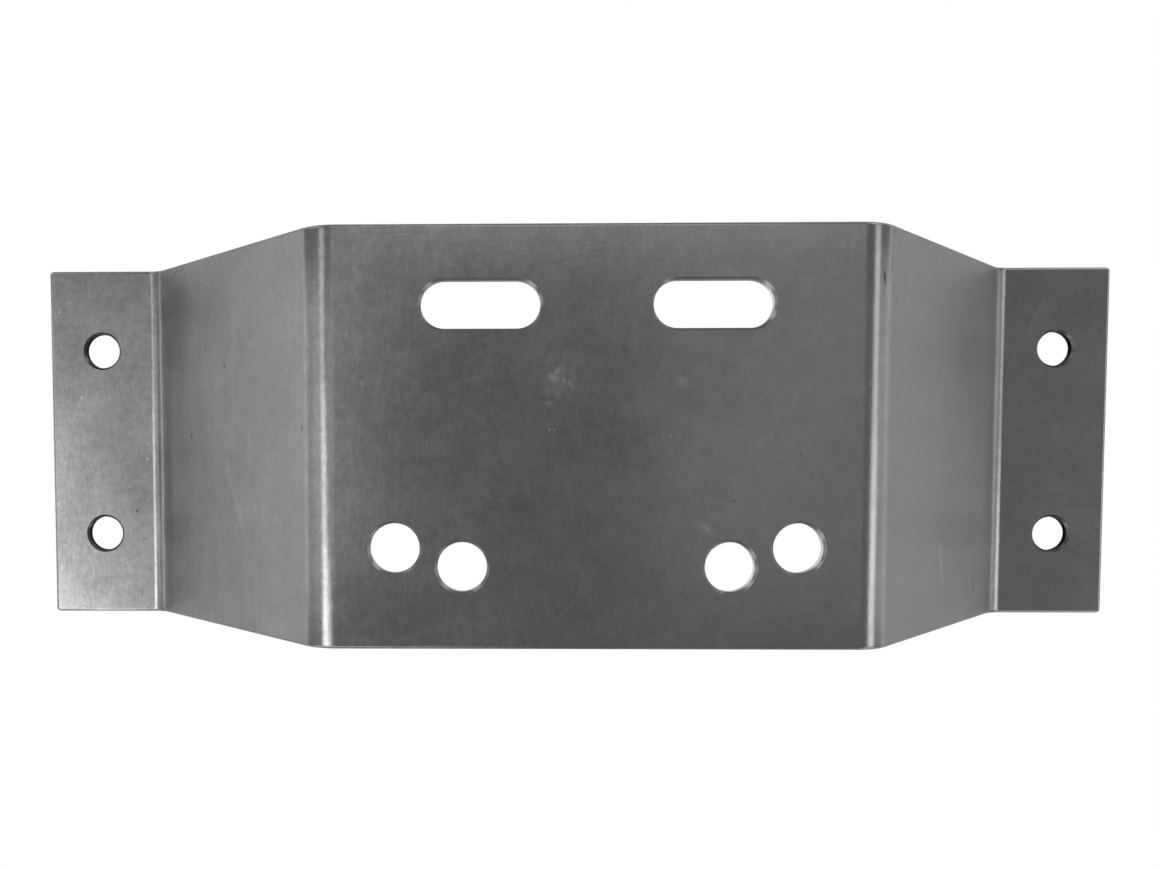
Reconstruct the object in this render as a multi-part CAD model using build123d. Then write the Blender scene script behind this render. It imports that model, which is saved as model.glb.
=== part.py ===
from build123d import *

import os
from math import radians, tan

# Spare wheel bracket: one strip of steel sheet, folded to a hat section and pierced.
# X runs along the strip, Y across it, and Z up from the flanges' undersides to the wheel plate.
# The origin is on the mounting plane, under the middle of the wheel plate.

# Sheet
sheet_thickness = 3.0
strip_width = 112.0

# Hat section, measured between the fold lines of its front face
plate_length = 148.6
stand_off = 62.0
web_slope = 45.0
flange_length = 35.7

# Inside radius of the bends beside the plate and beside the flanges
plate_bend_radius = 10.0
flange_bend_radius = 7.0

# Wheel plate: a pair of slots above two pairs of stud holes
slot_length = 31.5
slot_width = 12.5
slot_pitch = 61.0
slot_height = 35.0
stud_hole_diameter = 13.2
outer_hole_pitch = 106.5
outer_hole_height = -29.0
inner_hole_pitch = 70.7
inner_hole_height = -34.0

# Flanges: two bolt holes in each
bolt_hole_diameter = 11.0
bolt_hole_pitch = 60.0
bolt_hole_inset = 17.0

# Edges as shearing, piercing and deburring leave them
corner_radius = 1.3
front_edge_round = 1.0
back_edge_round = 0.5
front_rim_break = 0.7
back_rim_break = 0.3

# Places that follow from the sizes above
flange_front = sheet_thickness
plate_front = flange_front + stand_off
plate_fold = plate_length / 2
flange_fold = plate_fold + stand_off / tan(radians(web_slope))
end = flange_fold + flange_length
bolt_hole_span = 2 * (end - bolt_hole_inset)


def folded_strip():
    """The strip with its four bends, before it is pierced."""
    half_sheet = sheet_thickness / 2
    fold_shift = half_sheet * tan(radians(web_slope) / 2)
    right_half = [
        (plate_fold - fold_shift, plate_front - half_sheet),
        (flange_fold - fold_shift, flange_front - half_sheet),
        (end, flange_front - half_sheet),
    ]
    left_half = [(-x, z) for x, z in reversed(right_half)]
    plate_bend = plate_bend_radius + half_sheet
    flange_bend = flange_bend_radius + half_sheet
    bends = [flange_bend, plate_bend, plate_bend, flange_bend]
    with BuildPart() as strip:
        with BuildSketch(Plane.XZ):
            with BuildLine():
                FilletPolyline(*left_half, *right_half, radius=bends)
            trace(line_width=sheet_thickness)
        extrude(amount=strip_width / 2, both=True)
        fillet(strip.edges().filter_by(Axis.Z), radius=corner_radius)
    return strip.part


def faces_front(face):
    return face.normal_at().Z > 0.1


def faces_back(face):
    return face.normal_at().Z < -0.1


def is_cut_edge(face):
    return abs(face.normal_at().Z) < 0.001


def rounded_outline(strip):
    """The strip with the front and back edges of its outline softened all round."""
    for side, size in ((faces_front, front_edge_round), (faces_back, back_edge_round)):
        cut_edges = strip.faces().filter_by(is_cut_edge).edges()
        side_edges = strip.faces().filter_by(side).edges()
        outline = [edge for edge in side_edges if edge in cut_edges]
        strip = fillet(outline, radius=size)
    return strip


def pierced(strip):
    """The strip with its slots and holes, each with its rim broken on both faces."""
    with BuildPart() as bracket:
        add(strip)
        with BuildSketch(Plane.XY.offset(plate_front)):
            with Locations((0, slot_height)):
                with GridLocations(slot_pitch, 0, 2, 1):
                    SlotOverall(slot_length, slot_width)
            with Locations((0, outer_hole_height)):
                with GridLocations(outer_hole_pitch, 0, 2, 1):
                    Circle(stud_hole_diameter / 2)
            with Locations((0, inner_hole_height)):
                with GridLocations(inner_hole_pitch, 0, 2, 1):
                    Circle(stud_hole_diameter / 2)
        extrude(amount=-sheet_thickness, mode=Mode.SUBTRACT)
        with BuildSketch(Plane.XY.offset(flange_front)):
            with GridLocations(bolt_hole_span, bolt_hole_pitch, 2, 2):
                Circle(bolt_hole_diameter / 2)
        extrude(amount=-sheet_thickness, mode=Mode.SUBTRACT)
        for side, size in ((faces_front, front_rim_break), (faces_back, back_rim_break)):
            rims = [
                edge
                for face in bracket.faces().filter_by(Axis.Z).filter_by(side)
                for wire in face.inner_wires()
                for edge in wire.edges()
            ]
            chamfer(rims, length=size)
    return bracket.part


folded_bracket = pierced(rounded_outline(folded_strip()))
folded_bracket.label = "folded_bracket"

os.makedirs("parts", exist_ok=True)
export_step(folded_bracket, "parts/folded_bracket.step")
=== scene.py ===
from math import cos, pi, radians, sin

import bpy
from mathutils import Euler, Matrix, Vector

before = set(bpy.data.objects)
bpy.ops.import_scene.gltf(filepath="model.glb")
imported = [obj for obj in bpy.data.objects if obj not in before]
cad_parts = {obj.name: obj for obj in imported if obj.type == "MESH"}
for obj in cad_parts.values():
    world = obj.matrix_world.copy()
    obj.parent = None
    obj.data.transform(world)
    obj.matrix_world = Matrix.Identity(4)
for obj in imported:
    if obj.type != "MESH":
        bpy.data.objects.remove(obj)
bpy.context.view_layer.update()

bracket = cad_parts["folded_bracket"]

MM = 0.001

# A stretch in metres that makes heights on the bracket count for nothing
ANY_HEIGHT = 1000

# The photograph's frame, and the camera that took it, nearly straight down
PHOTO_WIDTH = 1160
PHOTO_HEIGHT = 870
FOCAL_PIXELS = 954.7
OPTICAL_CENTRE = (467.2, 501.6)
SENSOR_WIDTH = 36.0
CAMERA_POSITION = (-0.02958, -0.00489, 0.31658)
CAMERA_TURN = (radians(-2.671), radians(1.005), radians(-0.056))

# The bolt holes' middles and the radius around them that holds their rims, in mm
BOLT_HOLE_X = 155.0
BOLT_HOLE_Y = 30.0
BOLT_RIM_RADIUS = 8.0

# Heights between which the plate begins, and distances from the middle line between which
# the long cut edges begin, in metres
PLATE_HEIGHTS = (0.04, 0.05)
LONG_EDGE_PLACES = (0.055, 0.05)

# Faces that meet at less than this angle are parts of one round
CRISP_ANGLE = radians(26)

# The share of light that the steel reflects, and its roughness
STEEL_TONE = 0.4
STEEL_ROUGHNESS = 0.2

# What the slanted webs and the cut edges add to the roughness, and how far it swings
WEB_ROUGHNESS = 0.1
EDGE_ROUGHNESS = 0.16
ROUGH_CLOUDS = 0.05
ROUGH_GRAIN = 0.04

# Changes of tone on cut edges: all of them, a painted highlight on the stud holes' walls towards
# -X, painted shade on those towards -Y, and painted shade on the bolt holes' rims and walls
CUT_EDGE_TONE = -0.25
WALL_HIGHLIGHT_TONE = 0.8
WALL_SHADE_TONE = -0.4
BOLT_RIM_SHADE_TONE = -0.5

# Swings of tone in the sheet, from the finest grain to the widest clouds
FINE_GRAIN = 0.1
STROKES = 0.11
MOTTLE = 0.13
PATCHES = 0.12
CLOUDS = 0.2
STREAKS = 0.1

# Scattered flecks: cells to the metre, radius in cells, share of the cells that hold one, tone
PALE_FLECKS = (95, 0.075, 0.22, 0.16)
DARK_FLECKS = (61, 0.035, 0.3, -0.3)
SCRATCH_TONE = 0.09

# The grain is strongest on the left half and calmer on the webs
LEFT_GRAIN = 1.2
RIGHT_GRAIN = 0.65
WEB_GRAIN = 0.65

# The depth of the grain, and how much stronger its brushed lines and the torn edges are
RELIEF = 0.01 * MM
BRUSHED_RELIEF = 0.7
TORN_RELIEF = 6.0

# Marks on the front: X and Y of the middle, half width and half height in mm, turn in degrees,
# strength. Soft ones are mottled: smears of dried oil and worn patches.
SOFT_MARKS = (
    # A thumb-sized smudge above the plate's middle, in strokes
    (-10.0, 14.8, 7.0, 6.5, 0, 0.3),
    (-11.7, 16.1, 2.6, 2.0, 20, 0.4),
    (-10.1, 17.9, 3.2, 1.1, 48, 0.4),
    (-8.6, 15.3, 1.2, 1.1, 0, 0.5),
    (-6.9, 14.2, 1.9, 1.1, -60, 0.42),
    (-13.1, 12.3, 2.0, 1.6, 0, 0.26),
    (-10.4, 11.3, 1.8, 1.3, 30, 0.26),
    (-12.8, 9.2, 2.4, 0.9, 5, 0.32),
    # Fainter ones on the plate, pale and dark
    (22.1, 14.6, 2.6, 2.2, 0, 0.28),
    (28.5, -23.6, 5.0, 1.5, -35, 0.26),
    (-63.0, 30.0, 9.0, 22.0, 0, 0.08),
    (-22.0, -19.0, 16.0, 9.0, 15, -0.11),
    (5.0, -2.0, 22.0, 12.0, -10, -0.1),
    # Finger strokes on the left web
    (-105.5, -9.6, 1.8, 6.5, 12, 0.2),
    (-101.3, -21.5, 1.8, 7.0, 12, 0.24),
    (-134.5, -27.0, 2.0, 9.0, 0, -0.19),
    # Streaks at the foot of the right web
    (104.8, -36.0, 1.3, 10.0, 11, 0.34),
    (121.7, -43.4, 0.8, 4.5, 0, 0.24),
    (124.5, -45.0, 0.7, 4.5, 0, -0.3),
)

# Plain ones are even in tone: nicks, specks, scratches, handling lines, and patches and lines of
# painted shade and painted highlight.
PLAIN_MARKS = (
    (-12.3, 2.2, 0.42, 0.42, 0, 1.5),
    (-11.1, 2.2, 0.36, 0.36, 0, 1.3),
    (19.4, 0.6, 0.45, 0.45, 0, 0.5),
    (19.2, -9.4, 0.45, 0.45, 0, 0.5),
    (53.3, -4.2, 0.5, 0.5, 0, -0.47),
    (31.6, -42.1, 0.5, 0.5, 0, -0.47),
    (-9.7, 15.2, 0.5, 0.4, 0, -0.2),
    (-10.2, 12.6, 0.6, 0.4, 0, -0.2),
    # Handling lines along the plate's upper edge
    (-49.0, 55.1, 22.0, 0.16, 0, -0.3),
    (-49.0, 53.7, 22.0, 0.16, 0, -0.24),
    # Tool marks at the top of the right bend
    (74.9, 41.7, 0.75, 3.0, 5, -0.7),
    (78.1, 39.5, 0.55, 1.2, 0, -0.5),
    (79.6, 36.3, 0.5, 1.4, 10, -0.5),
    (77.5, 46.0, 0.3, 6.0, 0, -0.35),
    (78.1, 54.0, 0.6, 0.5, 0, -0.54),
    (80.5, 51.5, 0.6, 0.5, 0, -0.47),
    (92.5, 53.5, 0.5, 0.4, 0, -0.41),
    (99.8, 52.5, 0.5, 0.4, 0, -0.41),
    # Two scratches in line on the right flange
    (149.2, 42.3, 0.34, 10.8, -25.4, 0.38),
    (141.5, 26.6, 0.34, 3.8, -28, 0.42),
    # Painted shade in the left web's upper corner, a dark reflection of the shaded floor beside it,
    # and specks below it
    (-129.0, 42.0, 13.0, 17.0, 0, -0.26),
    (-118.0, 43.0, 17.0, 15.0, 0, -0.12),
    (-106.6, 22.2, 0.45, 1.1, 0, -0.47),
    (-121.3, 1.5, 0.5, 1.4, 8, -0.61),
    (-78.4, 2.9, 0.5, 1.4, 0, -0.41),
    (-127.6, 53.4, 0.7, 0.5, 0, -0.41),
    (-118.8, -53.7, 0.7, 0.5, 0, -0.41),
    # Pale spots, a pit and two scratches on the left flange
    (-169.1, 42.8, 0.7, 0.9, 0, 0.47),
    (-170.0, 46.7, 0.5, 0.6, 0, 0.41),
    (-162.0, 14.7, 0.9, 0.9, 0, 0.41),
    (-147.9, 28.1, 0.6, 0.5, 0, 0.27),
    (-169.8, -41.6, 0.6, 1.1, 0, 0.41),
    (-170.4, -20.3, 0.6, 0.9, 0, 0.34),
    (-167.8, -6.7, 0.7, 0.6, 0, 0.27),
    (-140.5, -5.4, 0.9, 0.9, 0, 0.41),
    (-144.4, -22.6, 0.55, 0.65, 0, -0.94),
    (-143.2, -49.6, 0.3, 2.2, -8, -0.54),
    (-141.9, -31.9, 1.9, 0.25, -8, -0.41),
    # Painted highlights along its two ends, the light that their rounded edges catch
    (-155.5, 55.3, 17.5, 0.35, 0, 0.4),
    (-155.5, -55.5, 17.5, 0.4, 0, 0.9),
    # Painted shade along the folds beside the flanges: dark lines in place of the bends' dark
    # reflections
    (137.7, 0.0, 1.6, 70.0, 0, -0.33),
    (-132.2, -8.0, 2.6, 75.0, 0, -0.25),
    (-136.2, 0.0, 1.2, 75.0, 0, -0.4),
)

# Glow of the floor near the bracket, under it, and beyond it to either side, and of the room
FLOOR_GLOW = 0.07
UNDER_GLOW = 0.8
LEFT_FLOOR_GLOW = 0.22
RIGHT_FLOOR_GLOW = 0.18
WALL_GLOW = 0.2

# Half the floor's width, and the places on it between which each glow sets in, in metres
FLOOR_HALF = 3.0
LEFT_GLOW_PLACES = (-0.2, -0.42)
RIGHT_GLOW_PLACES = (0.2, 0.45)
UNDER_GLOW_ENDS = (0.125, 0.11)
UNDER_GLOW_SIDES = (0.054, 0.048)

# Soft boxes: name, tilt and lean in degrees, size in metres, radiance. All stand equally far
# from the origin.
LAMP_DISTANCE = 1.2
SOFT_LIGHTS = (
    ("left_key", -37.5, -3, (0.24, 0.3), 1.65),
    ("left_key_back", -39.5, 12, (0.22, 0.35), 0.95),
    ("left_front", -33, -20, (0.43, 0.4), 1.2),
    ("left_front_core", -36, -16, (0.22, 0.3), 1.7),
    ("left_high", -20, 2, (0.4, 0.5), 0.36),
    ("left_mid", -54, 0, (0.34, 0.6), 0.48),
    ("left_low", -76, 0, (0.6, 0.6), 0.36),
    ("left_horizon", -85, 0, (0.16, 0.6), 0.36),
    ("back_high", 5, 26, (0.9, 0.5), 0.36),
    ("right_high", 20, 2, (0.4, 0.5), 0.13),
    ("right_key", 55, -8, (0.3, 0.38), 1.6),
    ("right_key_back", 55, 10, (0.26, 0.35), 1.05),
    ("right_low", 77, 0, (0.55, 0.6), 0.37),
    ("right_horizon", 85, 0, (0.16, 0.6), 0.15),
    ("front_fill", -30, -50, (0.6, 0.35), 1.2),
    ("back_fill", 0, 52, (0.9, 0.35), 0.8),
)

# One more in each corner, to either side of overhead in both directions
CORNER_TILT = 63
CORNER_LEAN = 42
CORNER_SIZE = (0.5, 0.5)
CORNER_RADIANCE = 0.9


class Graph:
    """Short calls that add and link the nodes of one material or world."""

    def __init__(self, tree):
        self.tree = tree

    def node(self, kind, **settings):
        made = self.tree.nodes.new(kind)
        for name, value in settings.items():
            setattr(made, name, value)
        return made

    def put(self, value, socket):
        """Links a node's output to the socket, or sets the socket to a plain value."""
        if isinstance(value, bpy.types.NodeSocket):
            self.tree.links.new(value, socket)
        else:
            socket.default_value = value

    def math(self, operation, *values):
        made = self.node("ShaderNodeMath", operation=operation)
        for value, socket in zip(values, made.inputs):
            self.put(value, socket)
        return made.outputs[0]

    def ranged(self, value, low, high, to_low=0.0, to_high=1.0):
        """The value's place between low and high, as a smooth step from to_low to to_high."""
        made = self.node("ShaderNodeMapRange", interpolation_type="SMOOTHSTEP")
        for item, socket in zip((value, low, high, to_low, to_high), made.inputs):
            self.put(item, socket)
        return made.outputs[0]

    def chained(self, operation, values):
        result = values[0]
        for value in values[1:]:
            result = self.math(operation, result, value)
        return result

    def total(self, *values):
        return self.chained("ADD", values)

    def product(self, *values):
        return self.chained("MULTIPLY", values)

    def split(self, vector):
        """The vector's X, Y and Z."""
        made = self.node("ShaderNodeSeparateXYZ")
        self.put(vector, made.inputs[0])
        return made.outputs[:3]

    def scaled(self, vector, scale):
        made = self.node("ShaderNodeVectorMath", operation="MULTIPLY")
        self.put(vector, made.inputs[0])
        made.inputs[1].default_value = scale
        return made.outputs[0]

    def noise(self, vector, scale, detail=2.0, roughness=0.5, warp=0.0):
        made = self.node("ShaderNodeTexNoise")
        self.put(vector, made.inputs["Vector"])
        made.inputs["Scale"].default_value = scale
        made.inputs["Detail"].default_value = detail
        made.inputs["Roughness"].default_value = roughness
        made.inputs["Distortion"].default_value = warp
        return made.outputs[0]

    def swing(self, value, amount):
        """A noise value, 0.5 at rest, as a swing of the given amount to both sides of 0."""
        return self.product(self.math("SUBTRACT", value, 0.5), 2 * amount)

    def patch(self, place, x, y, half_width, half_height, turn, core=0.0):
        """1 at the middle of an ellipse in X and Y, at any height, and 0 from its rim outwards."""
        made = self.node("ShaderNodeMapping", vector_type="TEXTURE")
        self.put(place, made.inputs["Vector"])
        made.inputs["Location"].default_value = (x * MM, y * MM, 0)
        made.inputs["Rotation"].default_value = (0, 0, radians(turn))
        made.inputs["Scale"].default_value = (half_width * MM, half_height * MM, ANY_HEIGHT)
        length = self.node("ShaderNodeVectorMath", operation="LENGTH")
        self.put(made.outputs[0], length.inputs[0])
        return self.ranged(length.outputs["Value"], 1.0, core)

    def marks(self, place, shapes):
        """The swings in tone of a list of patches, whose last number is their strength."""
        return self.total(*[
            self.product(self.patch(place, *ellipse), strength) for *ellipse, strength in shapes
        ])


def grain(graph, place, slanted):
    """The swings in tone of rolled sheet, from fine grain up to wide clouds."""
    strokes = graph.noise(graph.scaled(place, (1300, 300, 1300)), 1.0)
    streaks = graph.noise(graph.scaled(place, (450, 18, 450)), 1.0)
    swings = graph.total(
        graph.swing(graph.noise(place, 1500, 1.0), FINE_GRAIN),
        graph.swing(strokes, STROKES),
        graph.swing(graph.noise(place, 420), MOTTLE),
        graph.swing(graph.noise(place, 160), PATCHES),
        graph.swing(graph.noise(place, 38, 3.0, 0.55, 0.6), CLOUDS),
        graph.product(graph.swing(streaks, STREAKS), slanted),
    )
    x = graph.split(place)[0]
    one_sided = graph.ranged(x, -0.05, 0.05, LEFT_GRAIN, RIGHT_GRAIN)
    calmer = graph.ranged(slanted, 0.0, 1.0, 1.0, WEB_GRAIN)
    return graph.product(swings, one_sided, calmer)


def flecks(graph, place, scale, size, share, tone):
    """Small scattered spots: the given tone inside a spot, 0 between them."""
    cells = graph.node("ShaderNodeTexVoronoi")
    graph.put(place, cells.inputs["Vector"])
    cells.inputs["Scale"].default_value = scale
    spot = graph.ranged(cells.outputs["Distance"], size, size * 0.4)
    draw = graph.split(cells.outputs["Color"])[0]
    return graph.product(spot, graph.math("LESS_THAN", draw, share), tone)


def hairlines(graph, place):
    """Thin broken scratches, along the lines where a stretched noise passes its middle."""
    field = graph.noise(graph.scaled(place, (1, 0.35, 1)), 90, 0.0)
    middle = graph.math("ABSOLUTE", graph.math("SUBTRACT", field, 0.5))
    line = graph.ranged(middle, 0.02, 0.004)
    broken = graph.ranged(graph.noise(place, 60, 1.0), 0.58, 0.7)
    return graph.product(line, broken, SCRATCH_TONE)


def edge_tones(graph, place, facing, cut, slanted):
    """The changes of tone on cut edges, and the painted highlight and painted shade in the walls
    and rims of the holes.
    """
    y, z = graph.split(place)[1:]
    in_plate = graph.ranged(z, *PLATE_HEIGHTS)
    in_hole = graph.ranged(graph.math("ABSOLUTE", y), *LONG_EDGE_PLACES)
    # Walls facing -X get a painted highlight, walls facing -Y get painted shade
    wall_highlight = graph.ranged(facing[0], -0.4, -0.8, 0.0, WALL_HIGHLIGHT_TONE)
    torn_and_shaded = graph.ranged(facing[1], -0.4, -0.8, 0.0, WALL_SHADE_TONE)
    stud_wall_highlight_and_shade = graph.product(graph.total(wall_highlight, torn_and_shaded), in_plate, in_hole)
    # Painted shade on the bolt holes' rims and walls
    bolt_holes = graph.total(*[
        graph.patch(place, x, y, BOLT_RIM_RADIUS, BOLT_RIM_RADIUS, 0, 0.9)
        for x in (-BOLT_HOLE_X, BOLT_HOLE_X)
        for y in (-BOLT_HOLE_Y, BOLT_HOLE_Y)
    ])
    edges = graph.product(cut, graph.total(stud_wall_highlight_and_shade, CUT_EDGE_TONE))
    bolt_rim_shade = graph.product(bolt_holes, graph.total(cut, slanted), BOLT_RIM_SHADE_TONE)
    return graph.total(edges, bolt_rim_shade)


def relief(graph, place, cut):
    """The height of the rolled grain, and of the rougher torn lines on cut edges."""
    brushed = graph.noise(graph.scaled(place, (900, 160, 900)), 1.0)
    torn_and_shaded = graph.noise(graph.scaled(place, (260, 260, 1500)), 1.0)
    return graph.total(
        graph.noise(place, 1100),
        graph.product(brushed, BRUSHED_RELIEF),
        graph.product(torn_and_shaded, cut, TORN_RELIEF),
    )


def steel():
    """Mill-finished sheet: rolling grain, clouds, handling marks, duller cut edges, and painted
    highlights and shade on hole walls, folds and edges.
    """
    material = bpy.data.materials.new("mill_steel")
    material.use_nodes = True
    graph = Graph(material.node_tree)
    shader = material.node_tree.nodes["Principled BSDF"]
    shader.inputs["Metallic"].default_value = 1.0

    coordinates = graph.node("ShaderNodeTexCoord")
    place = coordinates.outputs["Object"]
    facing = graph.split(coordinates.outputs["Normal"])
    steep = graph.math("ABSOLUTE", facing[2])
    front = graph.ranged(facing[2], 0.1, 0.5)
    slanted = graph.ranged(steep, 0.8, 0.72)
    cut = graph.ranged(steep, 0.45, 0.1)

    smear = graph.ranged(graph.noise(place, 600, 3.0), 0.35, 0.65, 0.55, 1.25)
    soft = graph.product(graph.marks(place, SOFT_MARKS), smear)
    drawn = graph.total(soft, graph.marks(place, PLAIN_MARKS))
    swings = graph.total(
        1.0,
        grain(graph, place, slanted),
        graph.product(drawn, front),
        flecks(graph, place, *PALE_FLECKS),
        flecks(graph, place, *DARK_FLECKS),
        hairlines(graph, place),
        edge_tones(graph, place, facing, cut, slanted),
    )
    tone = graph.product(swings, STEEL_TONE)
    colour = graph.node("ShaderNodeCombineColor")
    for socket in colour.inputs:
        graph.put(tone, socket)
    graph.put(colour.outputs[0], shader.inputs["Base Color"])

    roughness = graph.total(
        graph.swing(graph.noise(place, 55, 3.0), ROUGH_CLOUDS),
        graph.swing(graph.noise(place, 900, 1.0), ROUGH_GRAIN),
        graph.product(slanted, WEB_ROUGHNESS),
        graph.product(cut, EDGE_ROUGHNESS),
        STEEL_ROUGHNESS,
    )
    graph.put(roughness, shader.inputs["Roughness"])

    bump = graph.node("ShaderNodeBump")
    bump.inputs["Distance"].default_value = RELIEF
    graph.put(relief(graph, place, cut), bump.inputs["Height"])
    graph.put(bump.outputs[0], shader.inputs["Normal"])
    return material


def rounded(vector, digits=6):
    return tuple(round(value, digits) for value in vector)


def true_bends(mesh):
    """Gives each corner the normal of the real bend or round, and the flats' own beside them."""
    around = {}
    for face in mesh.polygons:
        for corner in face.vertices:
            place = rounded(mesh.vertices[corner].co)
            around.setdefault(place, []).append((not face.use_smooth, face.normal.copy()))
    normals = []
    for face in mesh.polygons:
        for corner in face.vertices:
            near = [
                (flat, normal)
                for flat, normal in around[rounded(mesh.vertices[corner].co)]
                if normal.angle(face.normal) < CRISP_ANGLE
            ]
            flats = [normal for flat, normal in near if flat]
            kept = flats[:1] or {rounded(normal, 2): normal for flat, normal in near}.values()
            normals.append(sum(kept, Vector()).normalized())
    mesh.normals_split_custom_set(normals)


def soft_light(name, tilt, lean, size, radiance):
    """A soft box aimed at the bracket, tilted from overhead towards +X, then leaned towards +Y."""
    across, along = radians(tilt), radians(lean)
    towards = Vector((sin(across) * cos(along), sin(along), cos(across) * cos(along)))
    light = bpy.data.lights.new(name, "AREA")
    light.shape = "RECTANGLE"
    light.size, light.size_y = size
    light.energy = radiance * pi * size[0] * size[1]
    lamp = bpy.data.objects.new(name, light)
    lamp.location = towards * LAMP_DISTANCE
    upright = (Vector((0, 1, 0)) - towards * towards.y).normalized()
    lamp.rotation_euler = Matrix((upright.cross(towards), upright, towards)).transposed().to_euler()
    lamp.visible_camera = False
    bpy.context.scene.collection.objects.link(lamp)


def add_lights():
    for light in SOFT_LIGHTS:
        soft_light(*light)
    for side, tilt in (("left", -CORNER_TILT), ("right", CORNER_TILT)):
        for end, lean in (("front", -CORNER_LEAN), ("back", CORNER_LEAN)):
            soft_light(f"{side}_{end}_corner", tilt, lean, CORNER_SIZE, CORNER_RADIANCE)


def add_camera():
    """The camera looks down on the bracket, which lies on its flanges."""
    lens = bpy.data.cameras.new("camera")
    lens.sensor_width = SENSOR_WIDTH
    lens.lens = FOCAL_PIXELS / PHOTO_WIDTH * SENSOR_WIDTH
    lens.shift_x = (PHOTO_WIDTH / 2 - OPTICAL_CENTRE[0]) / PHOTO_WIDTH
    lens.shift_y = (OPTICAL_CENTRE[1] - PHOTO_HEIGHT / 2) / PHOTO_WIDTH
    lens.clip_start = 0.01
    camera = bpy.data.objects.new("camera", lens)
    camera.location = CAMERA_POSITION
    camera.rotation_euler = Euler(CAMERA_TURN)
    bpy.context.scene.collection.objects.link(camera)
    bpy.context.scene.camera = camera


def white_to_camera(graph, dimmer, output):
    """Pure white where the camera looks at it, and the dimmer shader in every reflection."""
    white = graph.node("ShaderNodeEmission")
    mix = graph.node("ShaderNodeMixShader")
    graph.put(graph.node("ShaderNodeLightPath").outputs["Is Camera Ray"], mix.inputs[0])
    graph.put(dimmer, mix.inputs[1])
    graph.put(white.outputs[0], mix.inputs[2])
    graph.put(mix.outputs[0], output)


def floor_material():
    """Matt and pale, with a soft glow under the bracket and beyond it to either side."""
    material = bpy.data.materials.new("floor")
    material.use_nodes = True
    graph = Graph(material.node_tree)
    matt = material.node_tree.nodes["Principled BSDF"]
    matt.inputs["Base Color"].default_value = (0.8, 0.8, 0.8, 1)
    matt.inputs["Roughness"].default_value = 1.0
    matt.inputs["Specular IOR Level"].default_value = 0.0
    matt.inputs["Emission Color"].default_value = (1, 1, 1, 1)
    x, y = graph.split(graph.node("ShaderNodeTexCoord").outputs["Object"])[:2]
    inside_ends = graph.ranged(graph.math("ABSOLUTE", x), *UNDER_GLOW_ENDS)
    inside_sides = graph.ranged(graph.math("ABSOLUTE", y), *UNDER_GLOW_SIDES)
    glow = graph.total(
        graph.ranged(x, *LEFT_GLOW_PLACES, 0.0, LEFT_FLOOR_GLOW),
        graph.ranged(x, *RIGHT_GLOW_PLACES, 0.0, RIGHT_FLOOR_GLOW),
        graph.product(inside_ends, inside_sides, UNDER_GLOW),
        FLOOR_GLOW,
    )
    graph.put(glow, matt.inputs["Emission Strength"])
    output = material.node_tree.nodes["Material Output"]
    white_to_camera(graph, matt.outputs[0], output.inputs["Surface"])
    return material


def add_floor():
    """A plain matt floor that shows white to the camera."""
    mesh = bpy.data.meshes.new("floor")
    half = FLOOR_HALF
    corners = [(-half, -half, 0), (half, -half, 0), (half, half, 0), (-half, half, 0)]
    mesh.from_pydata(corners, [], [(0, 1, 2, 3)])
    mesh.materials.append(floor_material())
    floor = bpy.data.objects.new("floor", mesh)
    bpy.context.scene.collection.objects.link(floor)


def add_surroundings():
    """Dim walls and ceiling, white to the camera like the floor."""
    world = bpy.data.worlds.new("surroundings")
    world.use_nodes = True
    bpy.context.scene.world = world
    graph = Graph(world.node_tree)
    dim = world.node_tree.nodes["Background"]
    dim.inputs["Color"].default_value = (1, 1, 1, 1)
    dim.inputs["Strength"].default_value = WALL_GLOW
    output = world.node_tree.nodes["World Output"]
    white_to_camera(graph, dim.outputs[0], output.inputs["Surface"])


bpy.context.scene.view_settings.view_transform = "Standard"
add_camera()
add_floor()
add_surroundings()
add_lights()
true_bends(bracket.data)
bracket.material_slots["sheet_steel"].material = steel()
